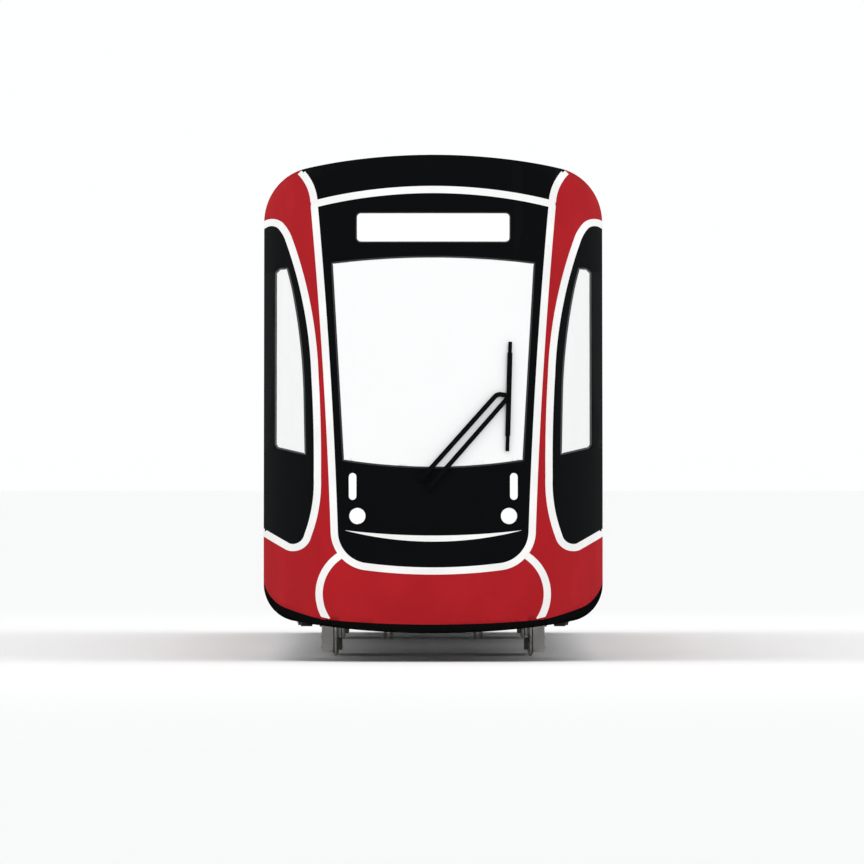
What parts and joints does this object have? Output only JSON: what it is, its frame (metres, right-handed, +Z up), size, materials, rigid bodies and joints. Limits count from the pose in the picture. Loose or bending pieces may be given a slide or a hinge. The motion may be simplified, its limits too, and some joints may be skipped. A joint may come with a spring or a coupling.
{
  "type": "articulated tram",
  "caption": "Low-floor articulated tram with two cabs, a carried middle section, yawing bogies, turning wheelsets, bellows gangways and a folding roof current collector.",
  "frame": {"origin": "centre of the tram's bounding box at the tips of the wheel flanges", "axes": "+Y from the front cab to the rear cab, +Z up, +X to the right of someone who faces the front cab"},
  "size_m": [2.4, 22.4, 3.5598],
  "materials": {
    "apron_black": "black flexible moulding",
    "band_black": "gloss black paint",
    "bellows_grey": "coated fabric",
    "bogie_grey": "dark grey paint",
    "cab_lining": "matt grey lining",
    "door_black": "gloss black paint",
    "equipment_grey": "light grey paint",
    "floor_cover": "grey floor covering",
    "front_glass": "laminated glass",
    "grab_steel": "brushed stainless steel",
    "lamp_lens": "clear lens",
    "livery_red": "gloss red paint",
    "mask_black": "gloss black paint",
    "pantograph_grey": "grey paint",
    "seat_fabric": "woven seat cover",
    "side_glass": "pale toughened glass",
    "sign_white": "blank white panel",
    "wheel_steel": "machined steel",
    "wiper_black": "black satin"
  },
  "bodies": {
    "centre_car": {"centre_body_panels": "livery_red", "centre_body_shell": "band_black", "centre_doors": "door_black", "centre_floor": "floor_cover", "centre_grab_rails": "grab_steel", "centre_roof_equipment": "equipment_grey", "centre_seats": "seat_fabric", "centre_windows": "side_glass", "front_bellows": "bellows_grey", "rear_bellows": "bellows_grey", "pantograph_base": "pantograph_grey"},
    "front_car": {"front_body_panels": "livery_red", "front_body_shell": "band_black", "front_cab_frame": "cab_lining", "front_cab_mask": "mask_black", "front_cab_panels": "livery_red", "front_cab_side_frames": "mask_black", "front_destination_sign": "sign_white", "front_doors": "door_black", "front_driver_seat": "seat_fabric", "front_floor": "floor_cover", "front_grab_rails": "grab_steel", "front_lamps": "lamp_lens", "front_lower_apron": "apron_black", "front_roof_cowl": "mask_black", "front_roof_equipment": "equipment_grey", "front_seats": "seat_fabric", "front_windows": "side_glass", "front_windscreen": "front_glass", "front_wiper": "wiper_black"},
    "rear_car": {"rear_body_panels": "livery_red", "rear_body_shell": "band_black", "rear_cab_frame": "cab_lining", "rear_cab_mask": "mask_black", "rear_cab_panels": "livery_red", "rear_cab_side_frames": "mask_black", "rear_destination_sign": "sign_white", "rear_doors": "door_black", "rear_driver_seat": "seat_fabric", "rear_floor": "floor_cover", "rear_grab_rails": "grab_steel", "rear_lamps": "lamp_lens", "rear_lower_apron": "apron_black", "rear_roof_cowl": "mask_black", "rear_roof_equipment": "equipment_grey", "rear_seats": "seat_fabric", "rear_windows": "side_glass", "rear_windscreen": "front_glass", "rear_wiper": "wiper_black"},
    "front_bogie": {"front_bogie_frame": "bogie_grey"},
    "rear_bogie": {"rear_bogie_frame": "bogie_grey"},
    "front_leading_axle": {"front_leading_wheelset": "wheel_steel"},
    "front_trailing_axle": {"front_trailing_wheelset": "wheel_steel"},
    "rear_leading_axle": {"rear_leading_wheelset": "wheel_steel"},
    "rear_trailing_axle": {"rear_trailing_wheelset": "wheel_steel"},
    "pantograph_lower": {"pantograph_lower_arm": "pantograph_grey"},
    "pantograph_upper": {"pantograph_upper_arm": "pantograph_grey"},
    "pantograph_collector": {"pantograph_head": "pantograph_grey"}
  },
  "joints": [
    {"name": "front_articulation", "type": "hinge", "parent": "centre_car", "child": "front_car", "pos_m": [0, -3.3, 0.36], "axis": [0, 0, 1], "range_deg": [-18, 18], "deforming": ["front_bellows"]},
    {"name": "rear_articulation", "type": "hinge", "parent": "centre_car", "child": "rear_car", "pos_m": [0, 3.3, 0.36], "axis": [0, 0, 1], "range_deg": [-18, 18], "deforming": ["rear_bellows"]},
    {"name": "front_bogie_yaw", "type": "hinge", "parent": "front_car", "child": "front_bogie", "pos_m": [0, -6.3, 0.4], "axis": [0, 0, 1], "range_deg": [-4, 4]},
    {"name": "rear_bogie_yaw", "type": "hinge", "parent": "rear_car", "child": "rear_bogie", "pos_m": [0, 6.3, 0.4], "axis": [0, 0, 1], "range_deg": [-4, 4]},
    {"name": "front_leading_wheels_spin", "type": "hinge", "parent": "front_bogie", "child": "front_leading_axle", "pos_m": [0, -7.225, 0.32], "axis": [1, 0, 0], "continuous": true},
    {"name": "front_trailing_wheels_spin", "type": "hinge", "parent": "front_bogie", "child": "front_trailing_axle", "pos_m": [0, -5.375, 0.32], "axis": [1, 0, 0], "continuous": true},
    {"name": "rear_leading_wheels_spin", "type": "hinge", "parent": "rear_bogie", "child": "rear_leading_axle", "pos_m": [0, 7.225, 0.32], "axis": [1, 0, 0], "continuous": true},
    {"name": "rear_trailing_wheels_spin", "type": "hinge", "parent": "rear_bogie", "child": "rear_trailing_axle", "pos_m": [0, 5.375, 0.32], "axis": [1, 0, 0], "continuous": true},
    {"name": "pantograph_raise", "type": "hinge", "parent": "centre_car", "child": "pantograph_lower", "pos_m": [0, 0.6, 3.03], "axis": [-1, 0, 0], "range_deg": [0, 48]},
    {"name": "pantograph_knee", "type": "hinge", "parent": "pantograph_lower", "child": "pantograph_upper", "pos_m": [0, -0.59543, 3.13459], "axis": [-1, 0, 0], "range_deg": [-96, 0]},
    {"name": "pantograph_collector_tilt", "type": "hinge", "parent": "pantograph_upper", "child": "pantograph_collector", "pos_m": [0, 0.6, 3.23917], "axis": [-1, 0, 0], "range_deg": [0, 48]}
  ],
  "couplings": [
    {"joint": "pantograph_knee", "follows": "pantograph_raise", "ratio": -2},
    {"joint": "pantograph_collector_tilt", "follows": "pantograph_raise", "ratio": 1}
  ]
}
